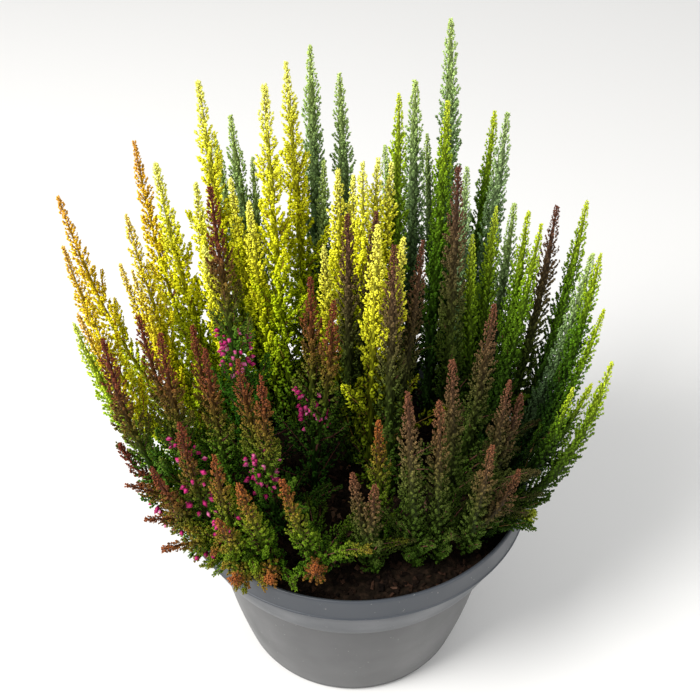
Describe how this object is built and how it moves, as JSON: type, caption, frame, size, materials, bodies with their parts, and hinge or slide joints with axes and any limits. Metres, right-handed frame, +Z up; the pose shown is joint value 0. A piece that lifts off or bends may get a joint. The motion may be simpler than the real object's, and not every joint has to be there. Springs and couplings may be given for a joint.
{
  "type": "potted heather",
  "caption": "Mixed upright heather sprays in gold, yellow, silver, lime, brown and red, fanning out of a round grey nursery bowl filled with soil.",
  "frame": {"origin": "middle of the pot's flat underside", "axes": "+Z up, -Y towards the side where bare soil shows at the rim, +X to the right seen from that side"},
  "size_m": [0.3186, 0.2539, 0.409],
  "materials": {
    "pot": "matte moulded plastic, blue-grey, slightly satin",
    "soil": "dark damp potting soil with bark crumbs",
    "gold_foliage": "matte scale leaves, orange-gold heather foliage",
    "yellow_foliage": "matte scale leaves, yellow heather foliage",
    "silver_foliage": "matte scale leaves, silver grey-green heather foliage",
    "lime_foliage": "matte scale leaves, lime green heather foliage",
    "rust_foliage": "matte scale leaves, brown-green heather foliage",
    "red_foliage": "matte scale leaves, red-brown heather foliage with magenta buds"
  },
  "bodies": {
    "root": {"pot": "pot", "soil": "soil", "spray_gold_1": "gold_foliage", "spray_gold_2": "gold_foliage", "spray_gold_3": "gold_foliage", "spray_gold_4": "gold_foliage", "spray_yellow_1": "yellow_foliage", "spray_yellow_2": "yellow_foliage", "spray_yellow_3": "yellow_foliage", "spray_yellow_4": "yellow_foliage", "spray_yellow_5": "yellow_foliage", "spray_yellow_6": "yellow_foliage", "spray_yellow_7": "yellow_foliage", "spray_yellow_8": "yellow_foliage", "spray_yellow_9": "yellow_foliage", "spray_silver_1": "silver_foliage", "spray_silver_2": "silver_foliage", "spray_silver_3": "silver_foliage", "spray_silver_4": "silver_foliage", "spray_silver_5": "silver_foliage", "spray_silver_6": "silver_foliage", "spray_silver_7": "silver_foliage", "spray_silver_8": "silver_foliage", "spray_lime_1": "lime_foliage", "spray_lime_2": "lime_foliage", "spray_lime_3": "lime_foliage", "spray_lime_4": "lime_foliage", "spray_lime_5": "lime_foliage", "spray_lime_6": "lime_foliage", "spray_lime_7": "lime_foliage", "spray_lime_8": "lime_foliage", "spray_lime_9": "lime_foliage", "spray_lime_10": "lime_foliage", "spray_rust_1": "rust_foliage", "spray_rust_2": "rust_foliage", "spray_rust_3": "rust_foliage", "spray_rust_4": "rust_foliage", "spray_rust_5": "rust_foliage", "spray_rust_6": "rust_foliage", "spray_rust_7": "rust_foliage", "spray_rust_8": "rust_foliage", "spray_rust_9": "rust_foliage", "spray_rust_10": "rust_foliage", "spray_rust_11": "rust_foliage", "spray_red_1": "red_foliage", "spray_red_2": "red_foliage", "spray_red_3": "red_foliage", "spray_red_4": "red_foliage", "spray_red_5": "red_foliage", "spray_red_6": "red_foliage", "spray_red_7": "red_foliage", "spray_red_8": "red_foliage", "spray_red_9": "red_foliage", "spray_red_10": "red_foliage", "spray_red_11": "red_foliage", "spray_red_12": "red_foliage", "spray_red_13": "red_foliage", "spray_red_14": "red_foliage", "spray_red_15": "red_foliage"}
  },
  "joints": []
}
